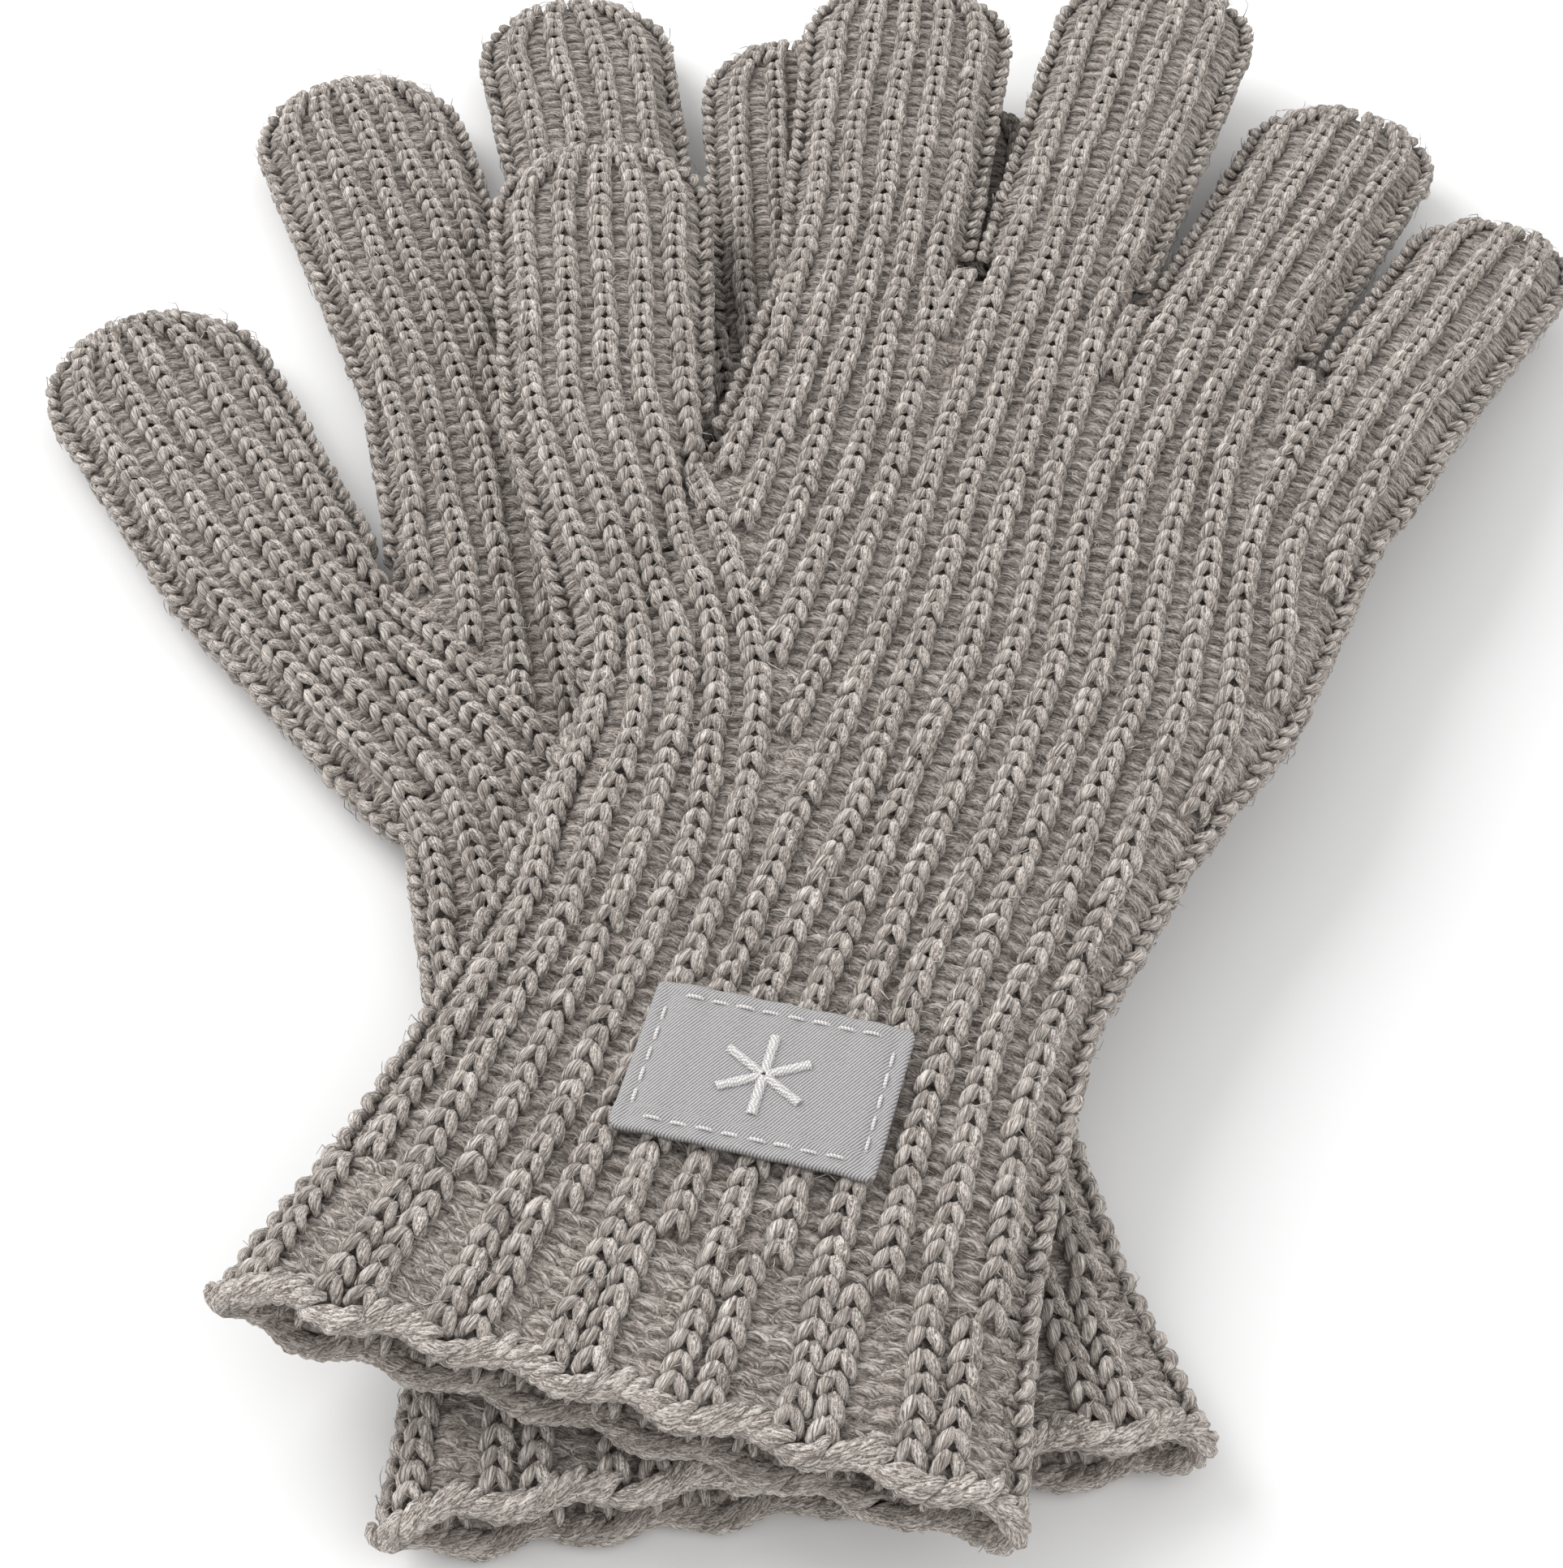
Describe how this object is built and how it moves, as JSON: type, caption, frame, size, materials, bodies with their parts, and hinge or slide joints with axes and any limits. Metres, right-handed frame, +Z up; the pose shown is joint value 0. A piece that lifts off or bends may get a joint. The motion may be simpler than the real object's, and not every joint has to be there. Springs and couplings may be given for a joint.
{
  "type": "knitted gloves",
  "caption": "Pair of rib-knit full-finger gloves in soft melange yarn, one lying on the other, with flared cuffs, a sewn wrist label and fingers that fold.",
  "frame": {"origin": "middle of the pair's bounding box, on the surface the pair lies on", "axes": "+Z up, +Y from the cuffs towards the fingertips, thumbs towards -X"},
  "size_m": [0.1899, 0.2418, 0.021],
  "materials": {
    "yarn": "soft melange rib knit",
    "label_weave": "satin woven label",
    "thread": "sewing thread"
  },
  "bodies": {
    "left_glove": {"left_hand": "yarn", "left_wrist": "yarn", "left_cuff": "yarn", "left_cuff_edge": "yarn", "left_middle_finger": "yarn", "left_ring_finger": "yarn", "left_little_finger": "yarn"},
    "right_glove": {"right_hand": "yarn", "right_wrist": "yarn", "right_cuff": "yarn", "right_cuff_edge": "yarn", "wrist_label": "label_weave", "label_stitching": "thread", "label_motif": "thread"},
    "left_thumb": {"left_thumb": "yarn"},
    "left_index": {"left_index_finger": "yarn"},
    "right_thumb": {"right_thumb": "yarn"},
    "right_index": {"right_index_finger": "yarn"},
    "right_middle": {"right_middle_finger": "yarn"},
    "right_ring": {"right_ring_finger": "yarn"},
    "right_little": {"right_little_finger": "yarn"}
  },
  "joints": [
    {"name": "right_glove_lift", "type": "slide", "parent": "left_glove", "child": "right_glove", "axis": [0, 0, 1], "range_m": [0, 0.08]},
    {"name": "left_thumb_fold", "type": "hinge", "parent": "left_glove", "child": "left_thumb", "pos_m": [-0.06386, 0.00479, 0.0096], "axis": [0.8788, 0.4772, 0], "range_deg": [0, 70]},
    {"name": "left_index_fold", "type": "hinge", "parent": "left_glove", "child": "left_index", "pos_m": [-0.05391, 0.0647, 0.0096], "axis": [0.9478, 0.319, 0], "range_deg": [0, 70]},
    {"name": "right_thumb_fold", "type": "hinge", "parent": "right_glove", "child": "right_thumb", "pos_m": [-0.02543, 0.02128, 0.0198], "axis": [0.9981, 0.061, 0], "range_deg": [0, 70]},
    {"name": "right_index_fold", "type": "hinge", "parent": "right_glove", "child": "right_index", "pos_m": [0.00645, 0.04951, 0.0198], "axis": [0.9938, -0.1115, 0], "range_deg": [0, 70]},
    {"name": "right_middle_fold", "type": "hinge", "parent": "right_glove", "child": "right_middle", "pos_m": [0.02903, 0.04554, 0.0198], "axis": [0.9603, -0.279, 0], "range_deg": [0, 70]},
    {"name": "right_ring_fold", "type": "hinge", "parent": "right_glove", "child": "right_ring", "pos_m": [0.04784, 0.03417, 0.0198], "axis": [0.9121, -0.4099, 0], "range_deg": [0, 70]},
    {"name": "right_little_fold", "type": "hinge", "parent": "right_glove", "child": "right_little", "pos_m": [0.06651, 0.02432, 0.0198], "axis": [0.8755, -0.4833, 0], "range_deg": [0, 70]}
  ]
}
